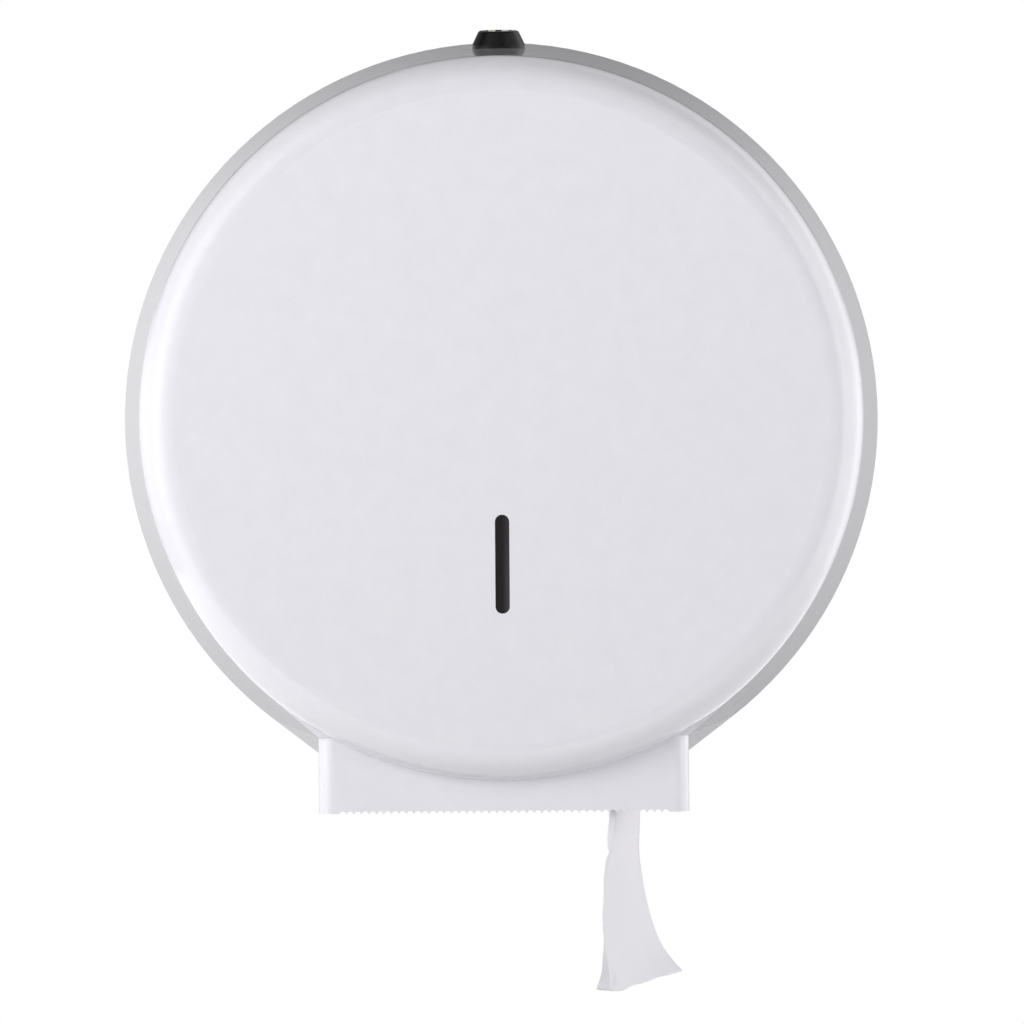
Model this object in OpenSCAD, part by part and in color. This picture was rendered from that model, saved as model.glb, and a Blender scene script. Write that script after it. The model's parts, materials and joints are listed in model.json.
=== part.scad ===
// Jumbo toilet roll dispenser for a washroom wall, in millimetres.
// +Z is up, the wall is the plane y = 0 and the front faces -Y. The origin is on the wall, on the
// axis of the round cover, in the middle of the four wall holes.
// A depth, written h below, is measured from the wall into the room, so a point lies at y = -h.

/* [Round cover] */
// Outside diameter of the cover at its open rear rim
cover_d = 345; // [335:5:380]
// Depth from the wall to the flat front
depth = 128; // [126:1:140]
// Thickness of the painted sheet steel of the cover and the apron
sheet_t = 1; // [0.8:0.1:1.4]
// Draft of the drawn side wall, in degrees
draft = 6.9; // [5:0.1:8]
// Outside radius of the rounded front edge
edge_r = 16; // [12:1:18]
// Gap between the cover's rear rim and the wall
rim_gap = 3; // [2.5:0.25:4]
// How far the wall stands off its circle where it runs straight into the apron
skirt_flare = 2.5; // [1:0.5:5]
// Length of the folded weld tabs beside the apron
tab_len = 10; // [6:1:14]

/* [Apron with the tear edge] */
// Width of the apron over its two sides
apron_w = 163; // [150:1:170]
// How far the tips of the teeth hang below the round cover, at the apron's front face
apron_drop = 14.3; // [12:0.1:18]
// Depth of the apron's front face
apron_h = 112; // [110:0.5:113]
// Outside radius of the two upright bends
bend_r = 6.5; // [3:0.5:8]
// Overlap of the apron inside the round cover
weld_lap = 12; // [8:1:16]
// Distance between two teeth
tooth_pitch = 3.3; // [2.5:0.1:5]
// Depth of a tooth
tooth_depth = 1.1; // [0.8:0.1:2]
// Plain edge left at each end of the row of teeth
tooth_margin = 2.3; // [1:0.1:12]

/* [Window] */
// Width of the slot for seeing how much paper is left
slot_w = 6.25; // [5:0.25:8]
// Length of the slot over its round ends
slot_len = 43.2; // [35:0.2:55]
// Distance of the slot's middle below the drum's axis
slot_drop = 64; // [55:1:75]
// Clearance round the window's raised pane in the slot
pane_gap = 0.1; // [0.05:0.05:0.2]
// Width of the window's bonding flange on each side of the slot
pane_flange = 6; // [4:0.5:8]
// Thickness of the window's flange behind the face
pane_t = 1.5; // [1.2:0.1:2.5]
// How far the pane's surface lies behind the painted face
pane_recess = 0.3; // [0.1:0.1:0.6]

/* [Door hinge] */
// Depth of the hinge axis
hinge_h = 8; // [7.5:0.25:10]
// How far the cover swings down, in degrees
open_angle = 80; // [60:1:82]
// Diameter of the hinge pins
hinge_pin_d = 6; // [5:0.5:8]
// Radial clearance of the hinge pins in their bushes
pin_play = 0.05; // [0.02:0.01:0.08]
// Wall of the hinge bushes
bush_wall = 1; // [0.8:0.1:1.5]
// Thickness of the bush's collar
bush_collar_t = 1.2; // [1:0.1:1.6]
// Sideways play of the hinge
hinge_play = 0.3; // [0.2:0.05:0.5]
// Thickness of the hinge ears
ear_t = 1.5; // [1.2:0.1:2.5]
// Length of the hinge ears' welded feet
ear_foot = 14; // [10:1:20]
// Thickness of the retaining rings on the hinge pins
clip_t = 0.8; // [0.6:0.1:1.2]

/* [Back plate] */
// Gap all round between the cover's rear rim and the back plate's rim
plate_gap = 4.5; // [3.5:0.25:8]
// Thickness of the back plate
plate_t = 1.2; // [1:0.1:1.4]
// Depth of the back plate's rim
plate_rim_h = 14; // [8:1:16]
// Outside radius between the plate and its rim
plate_edge_r = 3; // [2:0.5:4]
// Height of the pressed seat for the spindle
boss_rise = 3; // [2:0.25:3.25]
// Diameter of the pressed seat
boss_d = 96; // [88:2:110]
// Diameter of the stiffening bead
bead_d = 176; // [170:1:182]
// Width and height of the stiffening bead
bead_w = 10; // [8:1:14]
bead_rise = 2; // [1:0.25:3]
// Distance between the wall holes, across
fix_x = 170; // [150:5:175]
// Distance between the wall holes, up and down
fix_z = 130; // [125:1:132]
// Diameter of the wall holes
fix_d = 6.5; // [5:0.25:7]

/* [Spindle] */
// Height of the spindle above the drum's axis
spindle_z = 12; // [5:1:16]
// Diameter of the steel axle
axle_d = 12; // [10:1:14]
// Radial clearance of the spindle on the axle
axle_play = 0.05; // [0.02:0.01:0.08]
// Diameter of the spindle's mounting flange
flange_d = 70; // [66:1:80]
// Thickness of the mounting flange
flange_t = 2.5; // [2:0.25:2.75]
// Thickness of the felt brake washer
felt_t = 1.5; // [1:0.25:2]
// Axial gap on each side of the turning spindle
spin_gap = 0.3; // [0.2:0.05:0.5]
// Diameter of the spindle's rear plate
stop_d = 84; // [76:2:100]
// Thickness of the spindle's rear plate
stop_t = 2.2; // [1.5:0.1:2.5]
// Thickness of the spindle's fins
fin_t = 2.2; // [1.6:0.2:3]
// Number of fins
fin_count = 6; // [4:1:8]
// Wall of the spindle's inner tube
hub_wall = 3; // [2:0.5:4]
// Diameter of the dome cap
cap_d = 34; // [30:1:38]
// Wall of the dome cap
cap_wall = 1.6; // [1.2:0.1:2.5]

/* [Paper] */
// Inside diameter of the cardboard core
core_hole_d = 58; // [55:1:60]
// Wall of the cardboard core
core_wall = 1.2; // [0.8:0.1:2]
// Diameter of the part-used roll
roll_d = 108; // [90:1:130]
// Width of the paper
paper_w = 97; // [90:0.5:97]
// Length of paper that hangs below the teeth
tail_hang = 78.4; // [60:1:88]
// Thickness of the hanging tail's solid, two plies with the air between them
tail_t = 0.6; // [0.5:0.1:1]
// Air between the tail and what it passes
tail_gap = 0.4; // [0.3:0.1:1]

/* [Lock] */
// Depth of the lock's axis where it leaves the cover
lock_h = 42; // [40:1:46]
// Diameter of the lock's cap at its foot and at its top
lock_base_d = 23.9; // [22:0.1:26]
lock_top_d = 17.8; // [16:0.1:18.5]
// Height of the cap above the painted wall
lock_rise = 7.4; // [6:0.1:9]
// Radius of the cap's rounded shoulder
lock_shoulder_r = 1.6; // [1:0.1:2]
// Diameter of the threaded barrel through the wall
barrel_d = 16; // [15:0.5:17]
// Length of the barrel inside the wall
barrel_len = 13; // [11:1:14]
// Clearance round the barrel in the wall's hole
barrel_gap = 0.2; // [0.1:0.05:0.4]
// Diameter of the turning core
core_d = 12; // [11:0.5:12.5]
// Radial clearance of the core
core_play = 0.05; // [0.02:0.01:0.08]
// Thickness of the soft gasket
gasket_t = 1.5; // [1:0.1:2]
// Thickness and width across flats of the fixing nut
nut_t = 4; // [3:0.5:5]
nut_af = 22; // [20:0.5:24]
// Diameter of the ring of the key's two sockets
socket_d = 9.6; // [9:0.1:10]
// Width of the bar between the two sockets
socket_bar = 2.7; // [2:0.1:3]
// Depth of the sockets
socket_depth = 3.2; // [2:0.1:4]
// Thickness of the hook cam
cam_t = 2; // [1.5:0.1:2.5]
// Inside and outside radius of the cam's hook
hook_in = 17.5; // [17.5:0.1:18.5]
hook_out = 23; // [22:0.5:24]
// Thickness of the strike bracket
strike_t = 1.5; // [1.2:0.1:1.6]
// Width of the strike's lip
lip_w = 10; // [8:1:11]
// Distance from the lock's axis to the near face of the strike's lip
lip_reach = 14; // [13.5:0.1:14]

/* [Hidden] */
$fn = 96;
eps = 0.01;
drum_fn = 240;                     // facets of the drum where another piece seats on it, in a preview
beyond = 40;                       // run-out of the cuts past what they cut
paper_front = apron_h - sheet_t - 3; // depth of the paper's front edge, clear behind the apron

// The drawn wall is the cone r * cos(draft) + h * sin(draft) = cone_c, tangent to the edge's arc.
cone_c = cover_d / 2 * cos(draft) + rim_gap * sin(draft);
edge_h = depth - edge_r;
edge_x = (cone_c - edge_r - edge_h * sin(draft)) / cos(draft);
apron_half = apron_w / 2;

// Outside radius of the wall at depth h, moved in by inset.
function wall_r(h, inset = 0) = (cone_c - inset - h * sin(draft)) / cos(draft);
// Height of the wall's lowest stretch at x, for a radius r.
function below(r, x) = -sqrt(r * r - x * x);

apron_reach = wall_r(apron_h) + apron_drop; // from the drum's axis down to the tips of the teeth
plate_d = cover_d - 2 * plate_gap;
hinge_z = below(wall_r(hinge_h), apron_half);
foot_r = hinge_h - rim_gap;
slope = 90 - open_angle;
bush_id = hinge_pin_d + 2 * pin_play;
bush_od = bush_id + 2 * bush_wall;
bush_collar_d = bush_od + 4;
ear_x = apron_half - sheet_t - hinge_play - bush_collar_t; // outer face of a hinge ear
ear_r = bush_od / 2 + 2;
ear_reach = hinge_h + ear_r;
bush_lip = 0.5;                    // how far a bush stands out of its ear, inside
clip_d = hinge_pin_d + 4;
pin_end = 1;                       // pin beyond its retaining ring

boss_front = plate_t + boss_rise;
flange_front = boss_front + flange_t;
felt_front = flange_front + felt_t;
stop_back = felt_front + spin_gap;
paper_back = stop_back + stop_t;
paper_len = min(paper_w, paper_front - paper_back);
paper_end = paper_back + paper_len;
hub_d = axle_d + 2 * (axle_play + hub_wall);
hub_front = paper_end - 8;
spring_t = 1.4;
washer_t = 1;
ring_t = 1.2;
axle_front = hub_front + 2 * spin_gap + spring_t + washer_t + ring_t + 1.5;
collar_d = axle_d + 8;             // the mounting flange's neck round the axle
rivet_d = 4;
rivet_head_d = 7.6;
rivet_head_t = 1.3;
rivet_circle_d = flange_d - rivet_head_d - 2;
felt_d = rivet_circle_d - rivet_head_d - 2;
cap_front = axle_front + 5;
cap_back = hub_front - 6;
fin_nose = 9;                      // length and height of the fins' lead-in

roll_r = roll_d / 2;
core_r = core_hole_d / 2;

lock_z = wall_r(lock_h);
cam_s = barrel_len + sheet_t + 0.4; // distance of the cam's outer face below the painted wall
cam_y = -lock_h + cam_s * sin(draft);
cam_z = lock_z - cam_s * cos(draft);
cam_hub_d = 15;
cam_square = 7;
lip_back = -cam_y - lip_reach - strike_t; // depth of the lip's rear face
shelf_z = cam_z - (hook_out * sin(draft) + cam_t + 2 + strike_t);
strike_foot = 15;
lip_top = cam_z + 3;
cam_screw_d = 4;
cam_screw_len = 7;

// ---- Frames ----

// Draws in the plane of the wall and extrudes into the room: local z is the depth h.
module on_wall() { rotate([90, 0, 0]) children(); }

// The same, about the spindle.
module on_spindle() { translate([0, 0, spindle_z]) on_wall() children(); }

// Puts local z along the lock's axis, outward, with its zero on the painted wall.
module on_lock() { translate([0, -lock_h, lock_z]) rotate([draft, 0, 0]) children(); }

// Puts local z along +X at the hinge.
module on_hinge() { translate([0, -hinge_h, hinge_z]) rotate([0, 90, 0]) children(); }

module both_sides() {
  children();
  mirror([1, 0, 0]) children();
}

module ring(d_out, d_in, len) {
  difference() {
    cylinder(d = d_out, h = len);
    translate([0, 0, -1]) cylinder(d = d_in, h = len + 2);
  }
}

// ---- Round cover ----

// Half section of the drawn pan, moved in by inset, from the depth back to the front.
module pan_section(inset, back) {
  arc_r = edge_r - inset;
  union() {
    polygon([[0, back], [wall_r(back, inset), back],
             [edge_x + arc_r * cos(draft), edge_h + arc_r * sin(draft)],
             [edge_x, edge_h], [edge_x, depth - inset], [0, depth - inset]]);
    translate([edge_x, edge_h]) circle(r = arc_r);
  }
}

// One straight stretch of wall: it leaves the circle as a tangent and ends at the apron's side.
module skirt(inset, back, front) {
  corners = [for (h = [back, front]) each
    let (r = wall_r(h, inset), end_r = r + skirt_flare,
         end_a = acos(apron_half / end_r), touch_a = end_a - acos(r / end_r), inner_r = r - 3)
    [[r * cos(touch_a), -r * sin(touch_a), h], [apron_half, below(end_r, apron_half), h],
     [apron_half, below(inner_r, apron_half), h], [inner_r * cos(touch_a), -inner_r * sin(touch_a), h]]];
  polyhedron(corners, [[3, 2, 1, 0], [4, 5, 6, 7], [0, 1, 5, 4], [1, 2, 6, 5], [2, 3, 7, 6], [3, 0, 4, 7]]);
}

// The drum's solid shape out to the sheet's face at the given inset.
module drum(inset, back) {
  union() {
    rotate_extrude() pan_section(inset, back);
    both_sides() skirt(inset, back, apron_h - inset);
  }
}

module stadium(width, len, height) {
  linear_extrude(height) union() {
    square([width, len - width], center = true);
    for (s = [-1, 1]) translate([0, s * (len - width) / 2]) circle(d = width);
  }
}

// The tabs folded in from the wall's cut edges, welded flat against the apron's sides.
module weld_tabs() {
  tab_root = sheet_t / 2 - skirt_flare; // inside the skirt's sheet
  both_sides() intersection() {
    translate([apron_half, -cover_d, rim_gap]) cube([sheet_t, cover_d, apron_h - bend_r - sheet_t - rim_gap]);
    difference() {
      translate([0, 0, -eps])
        cylinder(r1 = wall_r(0, tab_root), r2 = wall_r(apron_h, tab_root), h = apron_h);
      translate([0, 0, -2 * eps])
        cylinder(r1 = wall_r(0, tab_len), r2 = wall_r(apron_h + 4, tab_len), h = apron_h + 4);
    }
  }
}

module cover_shell() {
  color([0.89, 0.89, 0.91]) difference() {
    union() {
      difference() {
        on_wall() drum(0, rim_gap);
        on_wall() drum(sheet_t, rim_gap - beyond);
        translate([0, 0, -cover_d]) linear_extrude(cover_d * 0.8) bend_plan(0, rim_gap - beyond);
        on_wall() translate([0, -slot_drop, depth - beyond / 2]) stadium(slot_w, slot_len, beyond);
      }
      on_wall() weld_tabs();
    }
    on_lock() translate([0, 0, -beyond / 2]) cylinder(d = barrel_d + 2 * barrel_gap, h = beyond);
  }
}

// ---- Apron ----

// Plan of the bent sheet's outer or inner face, filled in, out to depth apron_h.
module bend_plan(inset, back) {
  half = apron_half - inset;
  r = bend_r - inset;
  union() {
    translate([-half, -(apron_h - bend_r)]) square([2 * half, apron_h - bend_r - back]);
    translate([-(apron_half - bend_r), -(apron_h - inset)])
      square([apron_w - 2 * bend_r, apron_h - inset - back]);
    for (s = [-1, 1]) translate([s * (apron_half - bend_r), -(apron_h - bend_r)]) circle(r = r);
  }
}

// Side view of the apron, as depth and height: it slopes up to the hinge, parallel to the wall once open.
module apron_side() {
  slope_start = hinge_z - foot_r / cos(slope);
  slope_h = hinge_h + (slope_start + apron_reach) / tan(slope);
  knee_h = min(slope_h, apron_h - 2 * sheet_t);
  union() {
    polygon([[rim_gap, 0], [rim_gap, hinge_z], [hinge_h, hinge_z],
             [hinge_h - foot_r * sin(slope), hinge_z - foot_r * cos(slope)],
             [knee_h, slope_start - (knee_h - hinge_h) * tan(slope)],
             [knee_h, -apron_reach], [apron_h + 1, -apron_reach], [apron_h + 1, 0]]);
    translate([hinge_h, hinge_z]) circle(r = foot_r);
  }
}

// The notches between the teeth, as round scallops along the lower edge.
module tooth_notches() {
  row = apron_w - 2 * (bend_r + tooth_margin);
  count = floor(row / tooth_pitch);
  tip = 0.15 * tooth_pitch;
  half = (tooth_pitch - tip) / 2;
  r = (half * half + tooth_depth * tooth_depth) / (2 * tooth_depth);
  for (i = [0:count - 1])
    translate([(i - (count - 1) / 2) * tooth_pitch, 0, -apron_reach - r + tooth_depth])
      rotate([90, 0, 0]) cylinder(r = r, h = apron_h + 1, $fn = 32);
}

module apron() {
  color([0.88, 0.88, 0.90]) difference() {
    intersection() {
      translate([0, 0, -apron_reach - 1]) linear_extrude(apron_reach) difference() {
        bend_plan(0, rim_gap);
        bend_plan(sheet_t, rim_gap - 1);
      }
      translate([-apron_w, 0, 0]) rotate([90, 0, 90])
        linear_extrude(2 * apron_w) mirror([1, 0, 0]) apron_side();
    }
    on_wall() cylinder(r1 = wall_r(0, weld_lap), r2 = wall_r(apron_h + 1, weld_lap), h = apron_h + 1);
    intersection() {
      tooth_notches();
      translate([-apron_half, -apron_h - 1, -2 * apron_reach])
        cube([apron_w, 3 * sheet_t + 1, 2 * apron_reach]);
    }
  }
}

// ---- Window ----

module window() {
  color([0.10, 0.10, 0.11]) on_wall() translate([0, -slot_drop, 0]) {
    translate([0, 0, depth - sheet_t - pane_t])
      stadium(slot_w + 2 * pane_flange, slot_len + 2 * pane_flange, pane_t);
    translate([0, 0, depth - sheet_t - eps])
      stadium(slot_w - 2 * pane_gap, slot_len - 2 * pane_gap, sheet_t - pane_recess + eps);
  }
}

// ---- Hinge ----

module hinge_ears() {
  color([0.75, 0.76, 0.78]) both_sides() difference() {
    union() {
      translate([ear_x - ear_t, -hinge_h, hinge_z]) rotate([0, 90, 0]) cylinder(r = ear_r, h = ear_t);
      translate([ear_x - ear_t, -hinge_h, hinge_z - ear_r]) cube([ear_t, hinge_h - plate_t, 2 * ear_r]);
      translate([ear_x - ear_foot, -plate_t - ear_t, hinge_z - ear_r]) cube([ear_foot, ear_t, 2 * ear_r]);
    }
    translate([0, -hinge_h, hinge_z]) rotate([0, 90, 0]) cylinder(d = bush_od, h = apron_w);
  }
}

module hinge_bushes() {
  color([0.93, 0.93, 0.90]) both_sides() on_hinge() {
    translate([0, 0, ear_x]) ring(bush_collar_d, bush_id, bush_collar_t);
    translate([0, 0, ear_x - ear_t - bush_lip]) ring(bush_od, bush_id, ear_t + bush_lip + eps);
  }
}

module hinge_pins() {
  inner = ear_x - ear_t - bush_lip - hinge_play - clip_t - pin_end;
  color([0.70, 0.71, 0.73]) both_sides() on_hinge()
    translate([0, 0, inner]) cylinder(d = hinge_pin_d, h = apron_half - sheet_t - inner);
}

module pin_rings() {
  color([0.55, 0.56, 0.58]) both_sides() on_hinge()
    translate([0, 0, ear_x - ear_t - bush_lip - hinge_play - clip_t]) ring(clip_d, hinge_pin_d, clip_t);
}

// ---- Back plate ----

// The bead pressed up out of the plate, as a half section between two radii.
module bead_section(inset) {
  r_in = (bead_d - bead_w) / 2 - bead_rise + inset;
  r_out = (bead_d + bead_w) / 2 + bead_rise - inset;
  polygon([[r_in, -inset], [r_in + bead_rise, bead_rise], [r_out - bead_rise, bead_rise], [r_out, -inset]]);
}

module plate_section() {
  plate_r = plate_d / 2;
  difference() {
    union() {
      square([plate_r - plate_edge_r, plate_t]);
      translate([plate_r - plate_edge_r, plate_edge_r]) difference() {
        circle(r = plate_edge_r);
        circle(r = plate_edge_r - plate_t);
        translate([-2 * plate_edge_r, -2 * plate_edge_r]) square([2 * plate_edge_r, 4 * plate_edge_r]);
        translate([-plate_edge_r, 0]) square([3 * plate_edge_r, 2 * plate_edge_r]);
      }
      translate([plate_r - plate_t, plate_edge_r]) square([plate_t, plate_rim_h - plate_edge_r]);
      translate([0, plate_t]) bead_section(0);
    }
    bead_section(plate_t * 0.4);
  }
}

module back_plate() {
  tongue_end = -hinge_z + ear_r;
  mouth = apron_w + 4 * plate_edge_r;
  color([0.86, 0.87, 0.88]) on_wall() difference() {
    union() {
      difference() {
        rotate_extrude() plate_section();
        translate([-mouth / 2, -plate_d, plate_t]) cube([mouth, plate_d * 0.75, plate_rim_h]);
      }
      translate([-ear_x, -tongue_end, 0]) cube([2 * ear_x, tongue_end - plate_d * 0.4, plate_t]);
      translate([0, spindle_z, plate_t]) cylinder(d1 = boss_d + 2 * boss_rise, d2 = boss_d, h = boss_rise);
    }
    translate([0, spindle_z, -1]) cylinder(d = boss_d - 2 * plate_t, h = 1 + boss_rise);
    for (x = [-1, 1], z = [-1, 1])
      translate([x * fix_x / 2, z * fix_z / 2, -1]) cylinder(d = fix_d, h = 2 * plate_t + 2);
    translate([0, spindle_z, -1]) rivet_places() cylinder(d = rivet_d, h = boss_front + 2);
    translate([0, 0, -1]) strike_rivet_places() cylinder(d = rivet_d, h = plate_t + 2);
  }
}

// ---- Strike for the lock ----

module strike_rivet_places() {
  for (s = [-1, 1]) translate([s * strike_foot / 2, shelf_z - strike_foot / 2, 0]) children();
}

module strike_bracket() {
  foot_w = 2 * strike_foot;
  color([0.75, 0.76, 0.78]) difference() {
    union() {
      translate([-foot_w / 2, -plate_t - strike_t, shelf_z - strike_foot])
        cube([foot_w, strike_t, strike_foot + strike_t]);
      translate([-lip_w / 2, -lip_back - strike_t, shelf_z]) {
        cube([lip_w, lip_back + strike_t - plate_t, strike_t]);
        cube([lip_w, strike_t, lip_top - shelf_z]);
      }
    }
    on_wall() strike_rivet_places() cylinder(d = rivet_d, h = strike_foot);
  }
}

module strike_rivets() {
  color([0.70, 0.71, 0.73]) on_wall() strike_rivet_places() {
    cylinder(d = rivet_d, h = plate_t + strike_t + eps);
    translate([0, 0, plate_t + strike_t]) cylinder(d = rivet_head_d, h = rivet_head_t);
  }
}

// ---- Spindle ----

module rivet_places() {
  for (a = [45:90:315]) rotate(a) translate([rivet_circle_d / 2, 0, 0]) children();
}

module spindle_flange() {
  color([0.30, 0.31, 0.33]) on_spindle() difference() {
    union() {
      translate([0, 0, boss_front]) cylinder(d = flange_d, h = flange_t);
      translate([0, 0, boss_front]) cylinder(d = collar_d, h = flange_t + felt_t);
    }
    cylinder(d = axle_d, h = 2 * felt_front);
    rivet_places() cylinder(d = rivet_d, h = 2 * felt_front);
  }
}

module flange_rivets() {
  color([0.70, 0.71, 0.73]) on_spindle() rivet_places() {
    translate([0, 0, boss_rise - rivet_head_t]) cylinder(d = rivet_head_d, h = rivet_head_t);
    translate([0, 0, boss_rise - eps]) cylinder(d = rivet_d, h = plate_t + flange_t + 2 * eps);
    translate([0, 0, flange_front]) cylinder(d = rivet_head_d, h = rivet_head_t);
  }
}

module axle() {
  groove = hub_front + 2 * spin_gap + spring_t + washer_t;
  color([0.72, 0.73, 0.75]) on_spindle() difference() {
    union() {
      translate([0, 0, boss_front]) cylinder(d = axle_d, h = axle_front - boss_front - 1);
      translate([0, 0, axle_front - 1 - eps]) cylinder(d1 = axle_d, d2 = axle_d - 2, h = 1 + eps);
    }
    translate([0, 0, groove]) ring(axle_d + 2, axle_d - 1.6, ring_t);
  }
}

module brake_felt() {
  color([0.45, 0.44, 0.42]) on_spindle() translate([0, 0, flange_front]) ring(felt_d, collar_d, felt_t);
}

module disc_spring() {
  back = hub_front + spin_gap;
  r_in = axle_d / 2 + 0.2;
  r_out = hub_d / 2;
  leaf = 0.6;
  seat = 1;
  front = back + spring_t;
  color([0.55, 0.56, 0.58]) on_spindle() rotate_extrude()
    polygon([[r_in, front - leaf], [r_in + seat, front - leaf], [r_out - seat, back], [r_out, back],
             [r_out, back + leaf], [r_out - seat, back + leaf], [r_in + seat, front], [r_in, front]]);
}

module thrust_washer() {
  color([0.75, 0.76, 0.78]) on_spindle() translate([0, 0, hub_front + spin_gap + spring_t])
    ring(hub_d, axle_d, washer_t + spin_gap);
}

module axle_ring() {
  color([0.30, 0.31, 0.33]) on_spindle() translate([0, 0, hub_front + 2 * spin_gap + spring_t + washer_t])
    ring(axle_d + 4, axle_d - 1.6, ring_t);
}

// Outside shape of the fins, with the lead-in on which a new roll centres itself.
module fin_section() {
  polygon([[0, paper_back - eps], [core_r, paper_back - eps], [core_r, paper_end - 1],
           [core_r - fin_nose * 0.8, paper_end - 1 + fin_nose], [0, paper_end - 1 + fin_nose]]);
}

module roll_spindle() {
  color([0.32, 0.34, 0.37]) on_spindle() difference() {
    union() {
      translate([0, 0, stop_back]) cylinder(d = stop_d, h = stop_t);
      translate([0, 0, stop_back]) cylinder(d = hub_d, h = hub_front - stop_back);
      intersection() {
        rotate_extrude() fin_section();
        for (i = [0:fin_count - 1]) rotate(i * 360 / fin_count)
          translate([0, -fin_t / 2, paper_back - eps]) cube([core_r + 1, fin_t, paper_len + fin_nose]);
      }
    }
    cylinder(d = axle_d + 2 * axle_play, h = 2 * depth);
    translate([0, 0, hub_front]) cylinder(d = cap_d, h = depth);
    translate([0, 0, cap_back]) ring(cap_d, cap_d - 2 * cap_wall, depth);
  }
}

// A cup with a domed front that closes the spindle over the axle's end.
module spindle_cap() {
  dome_r = 1.75 * cap_d;
  dome_steps = 8;
  cap_r = cap_d / 2;
  apex = cap_front + cap_wall;
  function dome(x) = apex - dome_r + sqrt(dome_r * dome_r - x * x);
  roof = dome(cap_r) - cap_wall;
  color([0.32, 0.34, 0.37]) on_spindle() rotate_extrude() polygon(concat(
    [for (i = [0:dome_steps]) let (x = cap_r * i / dome_steps) [x, dome(x)]],
    [[cap_r, cap_back], [cap_r - cap_wall, cap_back], [cap_r - cap_wall, roof], [0, roof]]));
}

// ---- Paper ----

module roll_core() {
  color([0.70, 0.60, 0.48]) on_spindle() translate([0, 0, paper_back])
    ring(core_hole_d + 2 * core_wall, core_hole_d, paper_len);
}

module paper_roll() {
  color([0.95, 0.95, 0.94]) on_spindle() translate([0, 0, paper_back])
    ring(roll_d, core_hole_d + 2 * core_wall, paper_len);
}

// The tail peels off the roll's right side edge-on and turns on its way down. A row of its mesh is
// one level, a point of a row is its place across the paper: 0 at the front edge, 1 at the rear one.
tail_wrap = 55;                    // degrees of the roll that the tail still lies on
wrap_rows = 9;
tail_rows = 34;
tail_cols = 10;
tail_r = roll_r + tail_gap;
mouth_z = -apron_reach;
fold_x = 1.9;                      // how far the front lip is folded back
fold_share = 0.06;                 // its share of the paper's width
front_drift = [[0, -9.9], [0.2, -11.1], [0.33, -11.7], [0.5, -12.3], [0.7, -12.5], [0.9, -13.5], [1, -15.8]];
rear_drift = [[0, 6.5], [0.33, 5.8], [0.6, 9], [0.8, 13.6], [0.91, 18.8], [1, 25]];
rear_turn = [[0, 0.4], [0.6, 1.2], [1, 7.5]];

// Place across the paper of a column: the first one ends at the fold.
function across(col) = col == 0 ? 0 : fold_share + (1 - fold_share) * (col - 1) / (tail_cols - 2);
// How far down the drum a height is, from 0 at the spindle to 1 at the teeth.
function inside(z) = max(0, min(1, (spindle_z - z) / (spindle_z - mouth_z)));
// A sideways drift from the roll's tangent: it grows to its first value inside the drum.
function drift(table, z) = inside(z) * lookup(max(0, (mouth_z - z) / tail_hang), table);
// The lip that faces the front stands out towards the roll.
function fold(u, z) = fold_x * inside(z) * (1 - u - max(0, 1 - u / fold_share));
// A gentle wave across the sheet, dying out towards the roll.
function wave(u, z) = 1.6 * sin(u * 360 + 40) * inside(z);
// Ragged torn end.
function torn(u) = 0.9 * sin(u * 1500) + 0.7 * sin(u * 3700 + 50);

// A point of the sheet's face on one side of its middle: row 0 lies on the roll, the last row is torn.
function tail_point(row, col, side) =
  let (u = across(col), off = (1 + side) * tail_t / 2, y = -(paper_end - u * paper_len))
  row < wrap_rows
    ? let (a = tail_wrap * (1 - row / wrap_rows), r = tail_r + off)
      [r * cos(a), y, spindle_z + r * sin(a)]
    : let (t = (row - wrap_rows) / (tail_rows - 1 - wrap_rows),
           z = spindle_z - t * (spindle_z - mouth_z + tail_hang) + (row < tail_rows - 1 ? 0 : torn(u)),
           x = drift(front_drift, z) * (1 - u) + drift(rear_drift, z) * u + fold(u, z) + wave(u, z))
      [tail_r + off + x, y - drift(rear_turn, z) * u, z];

module paper_tail() {
  n = tail_rows * tail_cols;
  end = tail_rows - 1;
  edge = tail_cols - 1;
  points = [for (side = [1, -1], row = [0:end], col = [0:edge]) tail_point(row, col, side)];
  function at(row, col, back) = back * n + row * tail_cols + col;
  quads = concat(
    [for (row = [0:end - 1], col = [0:edge - 1])
      [at(row, col, 0), at(row, col + 1, 0), at(row + 1, col + 1, 0), at(row + 1, col, 0)]],
    [for (row = [0:end - 1], col = [0:edge - 1])
      [at(row, col, 1), at(row + 1, col, 1), at(row + 1, col + 1, 1), at(row, col + 1, 1)]],
    [for (row = [0:end - 1]) each [
      [at(row, 0, 0), at(row + 1, 0, 0), at(row + 1, 0, 1), at(row, 0, 1)],
      [at(row, edge, 0), at(row, edge, 1), at(row + 1, edge, 1), at(row + 1, edge, 0)]]],
    [for (col = [0:edge - 1]) each [
      [at(0, col, 0), at(0, col, 1), at(0, col + 1, 1), at(0, col + 1, 0)],
      [at(end, col, 0), at(end, col + 1, 0), at(end, col + 1, 1), at(end, col, 1)]]]);
  triangles = [for (q = quads) each [[q[0], q[2], q[1]], [q[0], q[3], q[2]]]];
  color([0.96, 0.96, 0.96]) polyhedron(points, triangles);
}

// ---- Lock ----

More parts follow.
